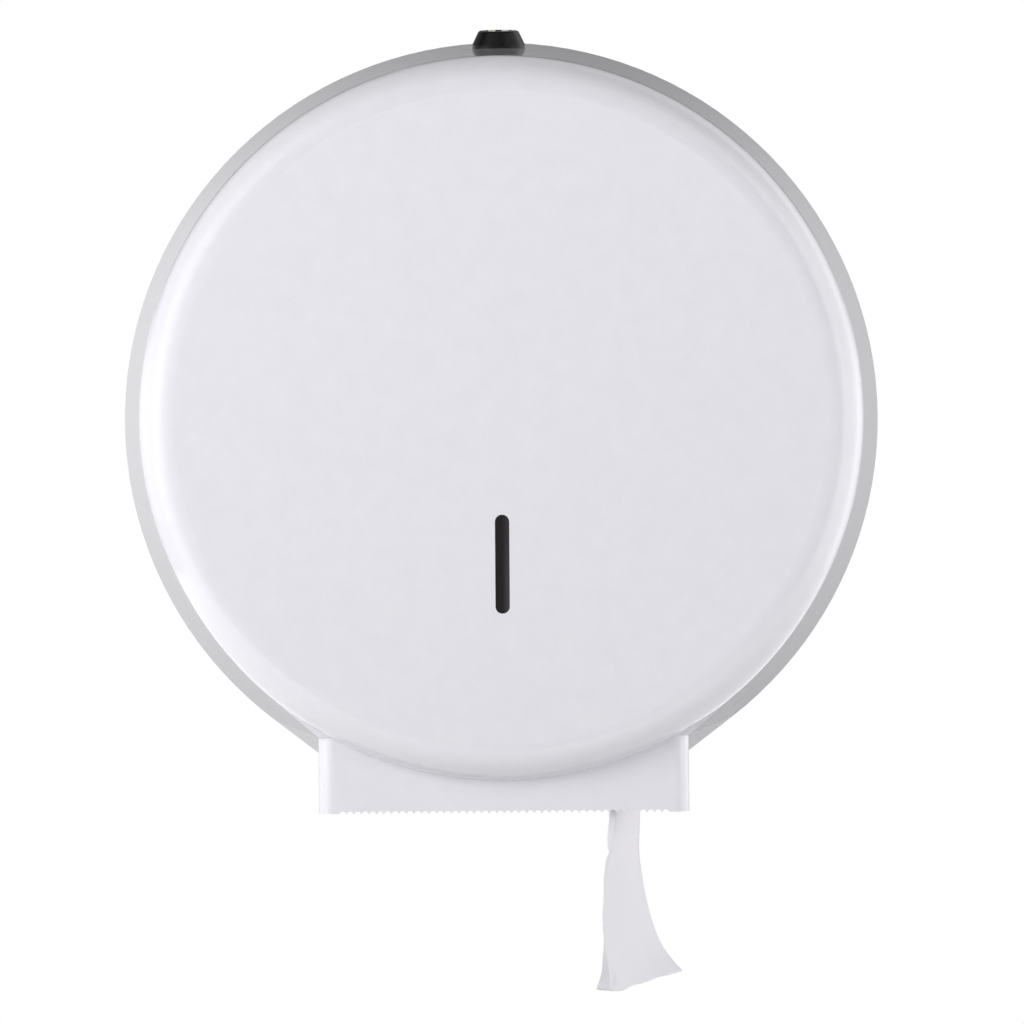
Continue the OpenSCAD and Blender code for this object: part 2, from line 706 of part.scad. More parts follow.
// Half section of the black cap, with a rounded shoulder and a small lip at its foot.
module lock_cap_section() {
  top_r = lock_top_d / 2;
  base_r = lock_base_d / 2;
  lip_rise = 1;
  under = 2;
  shoulder_steps = 6;
  lean = atan2(base_r - top_r, lock_rise - lip_rise);
  shoulder_x = top_r - lock_shoulder_r * (1 - sin(lean)) / cos(lean);
  shoulder = [for (i = [0:shoulder_steps]) let (a = lean + (90 - lean) * i / shoulder_steps)
    [shoulder_x + lock_shoulder_r * cos(a), lock_rise - lock_shoulder_r * (1 - sin(a))]];
  polygon(concat([[0, -under], [base_r, -under], [base_r, lip_rise]], shoulder, [[0, lock_rise]]));
}

module lock_housing() {
  color([0.07, 0.07, 0.07]) difference() {
    union() {
      difference() {
        on_lock() rotate_extrude() lock_cap_section();
        on_wall() rotate_extrude($fn = drum_fn) pan_section(0, rim_gap);
      }
      on_lock() translate([0, 0, -sheet_t - barrel_len])
        cylinder(d = barrel_d, h = barrel_len + sheet_t + lock_rise / 2);
    }
    on_lock() translate([0, 0, -beyond]) cylinder(d = core_d + 2 * core_play, h = 2 * beyond);
  }
}

module lock_gasket() {
  color([0.15, 0.15, 0.15]) intersection() {
    on_lock() translate([0, 0, -sheet_t - gasket_t]) ring(nut_af + 3, barrel_d, gasket_t + 2);
    on_wall() rotate_extrude($fn = drum_fn) pan_section(sheet_t, rim_gap);
  }
}

module lock_nut() {
  color([0.75, 0.76, 0.78]) on_lock() translate([0, 0, -sheet_t - gasket_t - nut_t]) difference() {
    cylinder(d = nut_af / cos(30), h = nut_t, $fn = 6);
    translate([0, 0, -1]) cylinder(d = barrel_d, h = nut_t + 2);
  }
}

module lock_core() {
  top = lock_rise - 0.3;
  color([0.09, 0.09, 0.09]) on_lock() difference() {
    union() {
      translate([0, 0, -cam_s]) cylinder(d = core_d, h = cam_s + top);
      translate([-cam_square / 2, -cam_square / 2, -cam_s - cam_t])
        cube([cam_square, cam_square, cam_t + 1]);
    }
    translate([0, 0, top - socket_depth]) difference() {
      cylinder(d = socket_d, h = socket_depth + 1);
      translate([-socket_bar / 2, -socket_d, -1]) cube([socket_bar, 2 * socket_d, socket_depth + 3]);
    }
    translate([0, 0, -cam_s - cam_t - 1]) cylinder(d = cam_screw_d, h = cam_screw_len + cam_t);
  }
}

// The cam's hook is an arc round the lock's axis, carried by an arm at its trailing end.
module lock_cam() {
  hook_from = -35;
  hook_to = 35;
  color([0.80, 0.81, 0.82]) on_lock() translate([0, 0, -cam_s - cam_t]) difference() {
    linear_extrude(cam_t) union() {
      circle(d = cam_hub_d);
      intersection() {
        difference() {
          circle(r = hook_out);
          circle(r = hook_in);
        }
        polygon([[0, 0], [2 * hook_out * cos(hook_from), 2 * hook_out * sin(hook_from)],
                 [3 * hook_out, 0], [2 * hook_out * cos(hook_to), 2 * hook_out * sin(hook_to)]]);
      }
      rotate(hook_from - 8) translate([0, -3.5]) square([hook_out - 0.6, 7]);
    }
    translate([-cam_square / 2, -cam_square / 2, -1]) cube([cam_square, cam_square, cam_t + 2]);
  }
}

module cam_screw() {
  color([0.70, 0.71, 0.73]) on_lock() {
    translate([0, 0, -cam_s - cam_t - eps]) cylinder(d = cam_screw_d, h = cam_screw_len);
    translate([0, 0, -cam_s - cam_t - 2]) cylinder(d = cam_square + 3, h = 2);
  }
}

back_plate();
hinge_ears();
hinge_bushes();
strike_bracket();
strike_rivets();
spindle_flange();
flange_rivets();
axle();
brake_felt();
disc_spring();
thrust_washer();
axle_ring();
cover_shell();
apron();
window();
hinge_pins();
pin_rings();
lock_housing();
lock_gasket();
lock_nut();
lock_core();
lock_cam();
cam_screw();
roll_spindle();
spindle_cap();
roll_core();
paper_roll();
paper_tail();
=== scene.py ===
"""Looks of the jumbo toilet roll dispenser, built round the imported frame. Units are metres."""

import json
import math

import bpy
import numpy as np
from mathutils import Matrix, Vector


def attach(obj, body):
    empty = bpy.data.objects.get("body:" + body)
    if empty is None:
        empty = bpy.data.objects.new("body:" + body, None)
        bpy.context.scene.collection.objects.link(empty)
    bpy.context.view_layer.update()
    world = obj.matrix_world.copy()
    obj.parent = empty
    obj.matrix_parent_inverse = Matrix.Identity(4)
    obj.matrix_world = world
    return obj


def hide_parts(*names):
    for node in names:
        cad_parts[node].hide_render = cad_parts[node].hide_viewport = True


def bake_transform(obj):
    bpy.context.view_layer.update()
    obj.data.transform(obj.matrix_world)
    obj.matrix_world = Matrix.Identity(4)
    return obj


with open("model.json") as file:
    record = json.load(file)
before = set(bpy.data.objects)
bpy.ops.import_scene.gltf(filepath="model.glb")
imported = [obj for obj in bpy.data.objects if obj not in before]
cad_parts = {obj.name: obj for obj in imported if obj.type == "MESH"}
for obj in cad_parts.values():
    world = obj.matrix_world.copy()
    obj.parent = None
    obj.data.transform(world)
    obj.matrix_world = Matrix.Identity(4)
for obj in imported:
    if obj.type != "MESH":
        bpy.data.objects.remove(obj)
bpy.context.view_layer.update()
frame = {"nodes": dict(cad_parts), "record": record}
scene = bpy.context.scene
NODES = frame["nodes"]
MM = 0.001

# ---------------------------------------------------------------- camera, light and surroundings

CAMERA_DISTANCE = 2.62  # from the wall
CAMERA_Z = -0.015
CAMERA_ROLL = math.radians(0.42)
DRUM_DEPTH = 0.128
FRAME_PX = 1024
FOCAL_PX = 5711  # focal length in pixels of that frame
AXIS_PX = (501.3, 417.5)  # where the middle of the drum's front stands in the frame
SENSOR_MM = 36

LAMPS_AIM = (0, -0.06, -0.02)
LAMPS = (  # name, place, size, watts
    ("left_panel", (-1.4, -0.58, 0.15), (1.8, 1.5), 17),
    ("right_panel", (1.45, -0.47, 0.12), (1.5, 1.5), 14.5),
    ("front_fill", (-2.0, -1.8, 0.9), (1.6, 1.4), 25),
)

# Soft ramps of the world's light over a direction's x, y or z: from, to, level before, level after.
HORIZON, FLANK = 0.59, 0.5
OVER = (0.08, 0.24, HORIZON, 0.11)
UNDER = (-0.22, 0.02, 0.43, HORIZON)
LEFT_TO_RIGHT = (-0.07, 0.07, 1.18, 0.87)
FLANK_FAR = (0.8, 0.95, FLANK, 0.0)
FLANK_NEAR = (0.1, 0.4, 0.0, FLANK)
FLANK_LEFT_TO_RIGHT = (-0.4, 0.4, 0.45, 1.0)
SIDES = (0.08, 0.5, 0.0, -0.06)  # over the square of x
FRONT_FILL = (-1.0, -0.2, 0.34, 0.0)
# The backdrop is white within 7.7 degrees of straight back, and fades out at 9.
BACKDROP = (math.cos(math.radians(9.0)), math.cos(math.radians(7.7)), 0.0, 1.0)
ROOM_TINT = (0.97, 0.97, 1.0, 1)

# What glossy surfaces mirror of the side panels: where it begins and ends from front to back.
PANEL_IMAGES = (  # test of x, ramp that begins it, ramp that ends it
    ("LESS_THAN", (-0.84, -0.6, 0.0, 0.9), (-0.35, -0.1, 1.0, 0.0)),
    ("GREATER_THAN", (-0.75, -0.52, 0.0, 1.55), (0.3, 0.85, 1.0, 0.0)),
)
PANEL_FOOT = (-0.75, -0.35, 0.0, 1.0)
PANEL_TOP = (0.4, 0.9, 1.0, 0.0)

FLOOR_Z = -0.42
FLOOR_HALF = 0.9
FLOOR_COLOUR = (0.62, 0.62, 0.63, 1)
FLOOR_GLOW = (0.55, 1.0, 0.80, 1.0)  # over the distance from the middle
WHITE = (1, 1, 1, 1)


def make_camera():
    data = bpy.data.cameras.new("camera")
    data.sensor_width = SENSOR_MM
    data.lens = FOCAL_PX * data.sensor_width / FRAME_PX
    # The camera's level below the middle of the drum's front, in pixels.
    drop = -CAMERA_Z * FOCAL_PX / (CAMERA_DISTANCE - DRUM_DEPTH)
    data.shift_x = (FRAME_PX / 2 - AXIS_PX[0] - drop * math.sin(CAMERA_ROLL)) / FRAME_PX
    data.shift_y = (AXIS_PX[1] + drop * math.cos(CAMERA_ROLL) - FRAME_PX / 2) / FRAME_PX
    data.clip_start, data.clip_end = 0.1, 100
    camera = bpy.data.objects.new("camera", data)
    camera.location = (0, -CAMERA_DISTANCE, CAMERA_Z)
    level = Matrix.Rotation(math.pi / 2, 3, "X")
    camera.rotation_euler = (level @ Matrix.Rotation(-CAMERA_ROLL, 3, "Z")).to_euler()
    scene.collection.objects.link(camera)
    scene.camera = camera


def make_lamp(name, place, size, watts):
    """An area lamp. It isn't mirrored itself: the world shows softer images of the panels."""
    data = bpy.data.lights.new(name, "AREA")
    data.shape = "RECTANGLE"
    data.size, data.size_y = size
    data.energy = watts
    lamp = bpy.data.objects.new(name, data)
    lamp.visible_glossy = False
    lamp.location = place
    lamp.rotation_euler = (Vector(LAMPS_AIM) - Vector(place)).to_track_quat("-Z", "Y").to_euler()
    scene.collection.objects.link(lamp)


def add(tree, kind, **values):
    """A new node. A value goes to the property of that name, or else to the input of that name."""
    node = tree.nodes.new(kind)
    for name, value in values.items():
        if hasattr(node, name):
            setattr(node, name, value)
        else:
            node.inputs[name.replace("_", " ")].default_value = value
    return node


def maths(tree, operation, a, b):
    node = add(tree, "ShaderNodeMath", operation=operation)
    for socket, value in zip(node.inputs, (a, b)):
        if isinstance(value, bpy.types.NodeSocket):
            tree.links.new(value, socket)
        else:
            socket.default_value = value
    return node.outputs[0]


def remap(tree, value, low, high, to_low, to_high):
    node = add(tree, "ShaderNodeMapRange", interpolation_type="SMOOTHSTEP")
    ends = {"From Min": low, "From Max": high, "To Min": to_low, "To Max": to_high}
    for name, number in ends.items():
        node.inputs[name].default_value = number
    tree.links.new(value, node.inputs["Value"])
    return node.outputs[0]


def mix_shaders(tree, factor, first, second, output):
    mix = add(tree, "ShaderNodeMixShader")
    for source, socket in zip((factor, first.outputs[0], second.outputs[0]), mix.inputs):
        tree.links.new(source, socket)
    tree.links.new(mix.outputs[0], add(tree, output).inputs[0])


def ray_kinds(tree):
    """Two factors: 1 for camera rays, and 1 for mirrored rays and rays through glass."""
    path = add(tree, "ShaderNodeLightPath")
    mirrored = maths(tree, "MAXIMUM", path.outputs["Is Glossy Ray"],
                     path.outputs["Is Transmission Ray"])
    return path.outputs["Is Camera Ray"], mirrored


def panel_images(tree, x, y, z):
    """Two soft-edged fields, dimmer than the lamps, for what is mirrored of the side panels."""
    upright = maths(tree, "MULTIPLY", remap(tree, z, *PANEL_FOOT), remap(tree, z, *PANEL_TOP))
    fields = 0.0
    for side, begins, ends in PANEL_IMAGES:
        across = maths(tree, "MULTIPLY", remap(tree, y, *begins), remap(tree, y, *ends))
        here = maths(tree, side, x, 0.0)
        fields = maths(tree, "ADD", fields, maths(tree, "MULTIPLY", across, here))
    return maths(tree, "MULTIPLY", upright, fields)


def make_world():
    """White where it is seen directly, and a grey room with a white backdrop where it is mirrored."""
    world = bpy.data.worlds.new("studio")
    scene.world = world
    world.use_nodes = True
    tree = world.node_tree
    tree.nodes.clear()
    towards = add(tree, "ShaderNodeSeparateXYZ")
    tree.links.new(add(tree, "ShaderNodeTexCoord").outputs["Generated"], towards.inputs[0])
    x, y, z = towards.outputs
    band = maths(tree, "MINIMUM", remap(tree, z, *OVER), remap(tree, z, *UNDER))
    band = maths(tree, "MULTIPLY", band, remap(tree, x, *LEFT_TO_RIGHT))
    flank = maths(tree, "MINIMUM", remap(tree, y, *FLANK_FAR), remap(tree, y, *FLANK_NEAR))
    flank = maths(tree, "MULTIPLY", flank, remap(tree, x, *FLANK_LEFT_TO_RIGHT))
    sides = remap(tree, maths(tree, "MULTIPLY", x, x), *SIDES)
    front = remap(tree, y, *FRONT_FILL)
    level = maths(tree, "ADD", maths(tree, "ADD", band, flank), maths(tree, "ADD", front, sides))
    straight, mirrored = ray_kinds(tree)
    images = maths(tree, "MULTIPLY", mirrored, panel_images(tree, x, y, z))
    level = maths(tree, "ADD", level, images)
    soft = add(tree, "ShaderNodeBackground", Color=ROOM_TINT)
    tree.links.new(level, soft.inputs["Strength"])
    white = add(tree, "ShaderNodeBackground", Color=WHITE, Strength=1.0)
    behind = maths(tree, "MULTIPLY", mirrored, remap(tree, y, *BACKDROP))
    factor = maths(tree, "MAXIMUM", straight, behind)
    mix_shaders(tree, factor, soft, white, "ShaderNodeOutputWorld")


def make_floor():
    """A small floor, out of the main view, white at its rim. It keeps the object's shadow.

    It hides the object from a camera that stands under it.
    """
    mesh = bpy.data.meshes.new("floor")
    corners = [(-1, -1), (1, -1), (1, 1), (-1, 1)]
    points = [(x * FLOOR_HALF, y * FLOOR_HALF, FLOOR_Z) for x, y in corners]
    mesh.from_pydata(points, [], [(0, 1, 2, 3)])
    floor = bpy.data.objects.new("floor", mesh)
    scene.collection.objects.link(floor)
    material = bpy.data.materials.new("pale_floor")
    material.use_nodes = True
    tree = material.node_tree
    tree.nodes.clear()
    matt = add(tree, "ShaderNodeBsdfDiffuse", Color=FLOOR_COLOUR)
    glow = add(tree, "ShaderNodeEmission", Color=WHITE)
    out = add(tree, "ShaderNodeVectorMath", operation="LENGTH")
    tree.links.new(add(tree, "ShaderNodeTexCoord").outputs["Object"], out.inputs[0])
    tree.links.new(remap(tree, out.outputs["Value"], *FLOOR_GLOW), glow.inputs["Strength"])
    lit = add(tree, "ShaderNodeAddShader")
    tree.links.new(matt.outputs[0], lit.inputs[0])
    tree.links.new(glow.outputs[0], lit.inputs[1])
    factor = maths(tree, "MAXIMUM", *ray_kinds(tree))
    mix_shaders(tree, factor, matt, lit, "ShaderNodeOutputMaterial")
    mesh.materials.append(material)


def make_studio():
    scene.view_settings.view_transform = "Standard"
    make_camera()
    make_world()
    make_floor()
    for lamp in LAMPS:
        make_lamp(*lamp)


# ---------------------------------------------------------------- materials

NOISE_LOW, NOISE_HIGH = 0.3, 0.7  # nearly all of a noise lies between them


class Finish:
    """A Principled material whose colour, roughness and relief come from noise at stated sizes."""

    def __init__(self, name, coordinate="Object", **sockets):
        self.material = bpy.data.materials.new(name)
        self.material.use_nodes = True
        self.tree = self.material.node_tree
        self.shader = next(n for n in self.tree.nodes if n.type == "BSDF_PRINCIPLED")
        for socket, value in sockets.items():
            self.shader.inputs[socket.replace("_", " ")].default_value = value
        self.place = add(self.tree, "ShaderNodeTexCoord").outputs[coordinate]
        self.normal = None

    def link(self, source, target):
        self.tree.links.new(source, target)

    def spots(self, size, detail=2.0, stretch=(1, 1, 1)):
        """Noise with features of about that size, longer along an axis where stretch is larger."""
        mapping = add(self.tree, "ShaderNodeMapping")
        mapping.inputs["Scale"].default_value = [1 / (size * s) for s in stretch]
        self.link(self.place, mapping.inputs["Vector"])
        noise = add(self.tree, "ShaderNodeTexNoise", Scale=1.0, Detail=detail, Roughness=0.55)
        self.link(mapping.outputs[0], noise.inputs["Vector"])
        return noise.outputs["Fac"]

    def colours(self, factor, dark, light, low=NOISE_LOW, high=NOISE_HIGH):
        ramp = add(self.tree, "ShaderNodeValToRGB")
        ends = ramp.color_ramp.elements
        ends[0].position, ends[1].position = low, high
        ends[0].color, ends[1].color = (*dark, 1), (*light, 1)
        self.link(factor, ramp.inputs[0])
        self.link(ramp.outputs[0], self.shader.inputs["Base Color"])

    def roughness(self, factor, low, high):
        level = remap(self.tree, factor, NOISE_LOW, NOISE_HIGH, low, high)
        self.link(level, self.shader.inputs["Roughness"])

    def relief(self, height, depth):
        """Adds a relief of that depth on top of any before it."""
        bump = add(self.tree, "ShaderNodeBump", Strength=1.0, Distance=depth)
        self.link(height, bump.inputs["Height"])
        if self.normal is not None:
            self.link(self.normal, bump.inputs["Normal"])
        self.normal = bump.outputs[0]
        self.link(self.normal, self.shader.inputs["Normal"])
        return self

    def both(self, a, b, share):
        """A mixture of two heights or factors."""
        return maths(self.tree, "ADD", maths(self.tree, "MULTIPLY", a, 1 - share),
                     maths(self.tree, "MULTIPLY", b, share))


def paint():
    f = Finish("gloss_white_powder_coat", IOR=1.5, Specular_IOR_Level=0.35, Coat_Weight=1.0,
               Coat_Roughness=0.07)
    grain = f.both(f.spots(0.35 * MM, 1), f.spots(9 * MM, 3), 0.4)
    f.colours(grain, (0.735, 0.726, 0.762), (0.785, 0.776, 0.809))
    f.roughness(f.spots(14 * MM, 2), 0.20, 0.27)
    f.relief(f.spots(1.3 * MM, 2), 0.005 * MM)
    return f.relief(f.spots(12 * MM, 1), 0.004 * MM)


def plate_paint():
    f = Finish("satin_grey_paint")
    grain = f.both(f.spots(0.5 * MM, 1), f.spots(18 * MM, 3), 0.5)
    f.colours(grain, (0.60, 0.61, 0.63), (0.68, 0.69, 0.71))
    f.roughness(f.spots(11 * MM, 3), 0.38, 0.5)
    return f.relief(f.spots(0.9 * MM, 2), 0.012 * MM)


def zinc():
    f = Finish("zinc_plated_steel", Metallic=1.0)
    grain = f.both(f.spots(2.2 * MM, 3), f.spots(0.25 * MM, 2, (12, 1, 1)), 0.45)
    f.colours(grain, (0.50, 0.51, 0.53), (0.70, 0.71, 0.72))
    f.roughness(f.spots(1.6 * MM, 3), 0.28, 0.46)
    return f.relief(f.spots(0.12 * MM, 2, (25, 1, 1)), 0.006 * MM)


def turned():
    f = Finish("turned_steel", Metallic=1.0)
    f.colours(f.spots(3 * MM, 3), (0.62, 0.62, 0.63), (0.76, 0.76, 0.77))
    f.roughness(f.spots(0.8 * MM, 2), 0.20, 0.32)
    return f.relief(f.spots(0.18 * MM, 1, (30, 1, 30)), 0.008 * MM)


def spring():
    f = Finish("blued_spring_steel", Metallic=1.0)
    f.colours(f.spots(1.5 * MM, 3), (0.16, 0.17, 0.20), (0.36, 0.36, 0.37))
    f.roughness(f.spots(0.7 * MM, 2), 0.28, 0.42)
    return f.relief(f.spots(0.15 * MM, 2), 0.004 * MM)


def nylon():
    f = Finish("natural_nylon", Subsurface_Weight=0.25)
    f.shader.inputs["Subsurface Radius"].default_value = (0.0012, 0.0011, 0.0009)
    f.colours(f.spots(4 * MM, 3), (0.78, 0.77, 0.70), (0.86, 0.86, 0.80))
    f.roughness(f.spots(2 * MM, 2), 0.38, 0.5)
    return f.relief(f.spots(0.4 * MM, 2), 0.006 * MM)


def grey_plastic():
    f = Finish("moulded_grey_plastic")
    f.colours(f.spots(7 * MM, 3), (0.085, 0.092, 0.105), (0.115, 0.124, 0.140))
    f.roughness(f.spots(1.2 * MM, 3), 0.40, 0.56)
    return f.relief(f.spots(0.28 * MM, 2), 0.010 * MM)


def black_plastic():
    f = Finish("gloss_black_plastic", IOR=1.5, Specular_IOR_Level=0.18)
    f.colours(f.spots(3 * MM, 2), (0.006, 0.006, 0.006), (0.012, 0.0115, 0.011))
    wear = f.both(f.spots(0.9 * MM, 3), f.spots(0.2 * MM, 1, (14, 1, 1)), 0.4)
    f.roughness(wear, 0.10, 0.20)
    return f.relief(f.spots(1.1 * MM, 2), 0.003 * MM)


def rubber():
    f = Finish("black_rubber")
    f.colours(f.spots(2 * MM, 3), (0.016, 0.016, 0.016), (0.03, 0.03, 0.03))
    f.roughness(f.spots(0.5 * MM, 2), 0.7, 0.9)
    return f.relief(f.spots(0.3 * MM, 3), 0.02 * MM)


def smoked():
    """Smoked plastic. Its colour is painted lighter to the right and lower down: painted light,
    standing in for the lit roll seen through the pane.
    """
    f = Finish("smoked_pane", IOR=1.5, Specular_IOR_Level=0.14, Transmission_Weight=0.1)
    place = add(f.tree, "ShaderNodeSeparateXYZ")
    f.link(f.place, place.inputs[0])
    across = remap(f.tree, place.outputs[0], -0.5 * MM, 3.4 * MM, 0.0, 0.9)
    down = remap(f.tree, place.outputs[2], -72 * MM, -44 * MM, 1.0, 0.6)
    # Painted light: the base colour grows lighter to the right and lower down, standing in for the lit
    # roll behind the pane.
    glow = f.both(maths(f.tree, "MULTIPLY", across, down), f.spots(2 * MM, 2), 0.06)
    f.colours(glow, (0.010, 0.0085, 0.0075), (0.062, 0.057, 0.066), 0.03, 0.97)
    f.roughness(f.spots(3 * MM, 2), 0.05, 0.12)
    return f.relief(f.spots(2.5 * MM, 2), 0.003 * MM)


def felt():
    f = Finish("pressed_felt", Sheen_Weight=0.6, Sheen_Roughness=0.5)
    fibres = f.both(f.spots(0.10 * MM, 4, (6, 1, 2)), f.spots(0.12 * MM, 4, (1, 2, 7)), 0.5)
    f.colours(fibres, (0.10, 0.095, 0.09), (0.27, 0.26, 0.24))
    f.roughness(f.spots(0.4 * MM, 2), 0.9, 1.0)
    return f.relief(fibres, 0.12 * MM)


def card():
    f = Finish("wound_core_board")
    fibres = f.both(f.spots(0.25 * MM, 4, (1, 9, 2)), f.spots(5 * MM, 3), 0.35)
    f.colours(fibres, (0.34, 0.25, 0.165), (0.52, 0.40, 0.28))
    f.roughness(f.spots(1.0 * MM, 3), 0.8, 0.95)
    return f.relief(fibres, 0.03 * MM)


def crepe(name, coordinate="UV"):
    """Soft tissue: fine crepe ridges across the web and a faint lengthwise unevenness."""
    f = Finish(name, coordinate, Subsurface_Weight=0.2, Sheen_Weight=0.25, Sheen_Roughness=0.6)
    f.shader.inputs["Subsurface Radius"].default_value = (0.0008, 0.0008, 0.0008)
    ridges = f.spots(0.32 * MM, 3, (7, 1, 1))
    streaks = f.spots(2.6 * MM, 3, (1, 14, 1))
    f.colours(f.both(ridges, streaks, 0.35), (0.865, 0.85, 0.885), (0.92, 0.905, 0.94))
    f.roughness(f.spots(1.0 * MM, 3), 0.88, 0.98)
    f.relief(streaks, 0.02 * MM)
    return f.relief(ridges, 0.03 * MM)


def dress_cad_nodes():
    finishes = {
        "white_paint": paint(), "plate_steel": plate_paint(), "zinc_steel": zinc(),
        "bright_steel": turned(), "spring_steel": spring(), "nylon": nylon(),
        "grey_plastic": grey_plastic(), "black_plastic": black_plastic(),
        "black_rubber": rubber(), "smoked_plastic": smoked(), "felt": felt(),
        "core_card": card(), "tissue": crepe("crepe_tissue_plain", "Object"),
    }
    for part in frame["record"]["subparts"]:
        mesh = NODES[part["node"]].data
        mesh.materials.clear()
        mesh.materials.append(finishes[part["material_slot"]].material)


# ---------------------------------------------------------------- paper

SPINDLE_Z = 12 * MM
ROLL_R = 54 * MM
CORE_R = 30.2 * MM
PAPER_FRONT, PAPER_REAR = -107.7 * MM, -10.7 * MM
PAPER_W = PAPER_REAR - PAPER_FRONT
TAIL_GAP = 0.4 * MM
TAIL_R = ROLL_R + TAIL_GAP
TAIL_LIFT = 0.3 * MM  # the sheet's middle surface stands that much further out
WRAP = math.radians(55)  # how far the sheet still lies on the roll
WRAP_SINK = 1.05 * MM  # how far its start is drawn in, to just under the roll's surface
WRAP_ROWS, CHUTE_ROWS, HANG_ROWS = 26, 60, 110
MOUTH_Z = -173.6 * MM
TAIL_END_Z = -252 * MM
SHEET_T = 0.22 * MM

# The hanging sheet from front to back, at distances below the drum's axis, in millimetres.
FRONT_X = [
    (-12, 54.4), (60, 53.0), (120, 49.0), (165, 46.3), (173.4, 46.0), (180, 45.5), (187, 44.9),
    (190, 45.2), (191.7, 45.7), (193, 45.0), (194.3, 44.5), (197.5, 43.9), (201, 43.5), (212, 43.1),
    (221, 42.5), (229.7, 43.1), (238, 42.6), (245, 42.0), (248.5, 41.0), (252, 39.6)]
CREASE_X = [
    (-12, 54.4), (60, 54.2), (120, 52.0), (173.6, 48.7), (181, 48.3), (188, 47.7), (194, 46.3),
    (200, 45.0), (212, 44.5), (229, 44.3), (238, 44.6), (246, 45.6), (252, 46.1)]
REAR_X = [
    (-12, 54.4), (60, 56.2), (120, 59.4), (173.6, 61.9), (186, 61.4), (199, 61.2), (210, 62.5),
    (220, 64.3), (229, 66.6), (236, 69.0), (242, 72.0), (247, 75.6), (252.4, 80.4)]
REAR_FORWARD = [(-12, 0), (120, 0.3), (199, 0.6), (236, 3.4), (252, 7.6)]
STRIP_DEPTH = 1.2  # of the narrow strip that is turned to the front, beside the crease
CURL = 11  # how far the front corner is turned back at the tear

# The torn end: the height of its edge over the sheet's width, in millimetres.
TORN_EDGE = [
    (0, -0.7), (0.06, -1.4), (0.12, -1.6), (0.18, -1.5), (0.25, -1.5), (0.33, -1.1), (0.42, -0.9),
    (0.5, -0.7), (0.58, -0.3), (0.66, -0.1), (0.75, 0.4), (0.82, 0.2), (0.86, 0.4), (0.93, 0.3),
    (1, 0.5)]
TORN_ROWS = 28
TORN_FIBRES = 0.00018  # spread of its fibres, in metres


def mesh_piece(name, points, faces, uv=None, smooth=True):
    mesh = bpy.data.meshes.new(name)
    mesh.from_pydata([tuple(p) for p in points], [], faces)
    if uv is not None:
        layer = mesh.uv_layers.new(name="UVMap")
        corners = np.array([loop.vertex_index for loop in mesh.loops])
        layer.data.foreach_set("uv", np.asarray(uv, np.float32)[corners].ravel())
    mesh.polygons.foreach_set("use_smooth", [smooth] * len(mesh.polygons))
    mesh.update()
    piece = bpy.data.objects.new(name, mesh)
    scene.collection.objects.link(piece)
    return piece


def eased(table, at):
    """Smooth curve through a table of pairs, sampled at rising places."""
    places, values = np.array(table, float).T
    slopes = np.gradient(values, places)
    at = np.clip(at, places[0], places[-1])
    i = np.clip(np.searchsorted(places, at) - 1, 0, len(places) - 2)
    h = places[i + 1] - places[i]
    t = (at - places[i]) / h
    return ((1 + 2 * t) * (1 - t) ** 2 * values[i] + t * (1 - t) ** 2 * h * slopes[i]
            + t * t * (3 - 2 * t) * values[i + 1] + t * t * (t - 1) * h * slopes[i + 1])


def smooth(value, start, end):
    """Rises from 0 at start to 1 at end, and stays there."""
    t = np.clip((value - start) / (end - start), 0, 1)
    return t * t * (3 - 2 * t)


def wrapped_rows(u):
    """Rows of the sheet that still lie on the roll, from inside its outer turn."""
    points = []
    for angle in np.linspace(WRAP, 0, WRAP_ROWS, endpoint=False):
        r = TAIL_R + TAIL_LIFT - WRAP_SINK * smooth(angle, WRAP * 0.55, WRAP)
        for share in u:
            y = PAPER_FRONT + share * PAPER_W
            points.append((r * math.cos(angle), y, SPINDLE_Z + r * math.sin(angle)))
    return points


def hanging_rows(u, down):
    """Rows of the sheet from the roll to the tear, each at one height."""
    below = (SPINDLE_Z - down) * 1000  # height of each row, in millimetres
    hang = -below
    front, crease, rear = (eased(table, hang) for table in (FRONT_X, CREASE_X, REAR_X))
    rear_y = eased(REAR_FORWARD, hang)
    inside = np.clip((12 + hang) / 186, 0, 1)  # grows from the spindle to the chute's mouth
    # How far the sheet keeps to the crease before it spreads to its rear edge.
    bent = 0.8 * smooth(hang, 60, 160) * smooth(hang, 240, 186)
    curl = smooth(hang, 232, 256)
    folds = np.hypot(crease - front, STRIP_DEPTH) / (PAPER_W * 1000)
    points = []
    for row, z in enumerate(below):
        fold = folds[row]
        body = np.clip((u - fold) / (1 - fold), 0, 1)
        across = body * (1 - bent[row]) + bent[row] * body ** 4
        x = np.where(u < fold, front[row] + (crease[row] - front[row]) * u / fold,
                     crease[row] + (rear[row] - crease[row]) * across)
        swell = np.sin(body * math.pi) * inside[row]
        waves = (0.9 * np.sin(body * 5.2 + 0.012 * hang[row])
                 + 0.35 * np.sin(body * 17 - 0.05 * hang[row]))
        x = x + swell * waves
        depth = np.where(u < fold, STRIP_DEPTH * u / fold,
                         STRIP_DEPTH + (u - fold) * PAPER_W * 1000)
        y = PAPER_FRONT * 1000 + depth - rear_y[row] * u ** 1.5
        y = y + CURL * curl[row] * smooth(u, 0.2, 0.05)
        points += [(px * MM + TAIL_LIFT, py * MM, z * MM) for px, py in zip(x, y)]
    return points


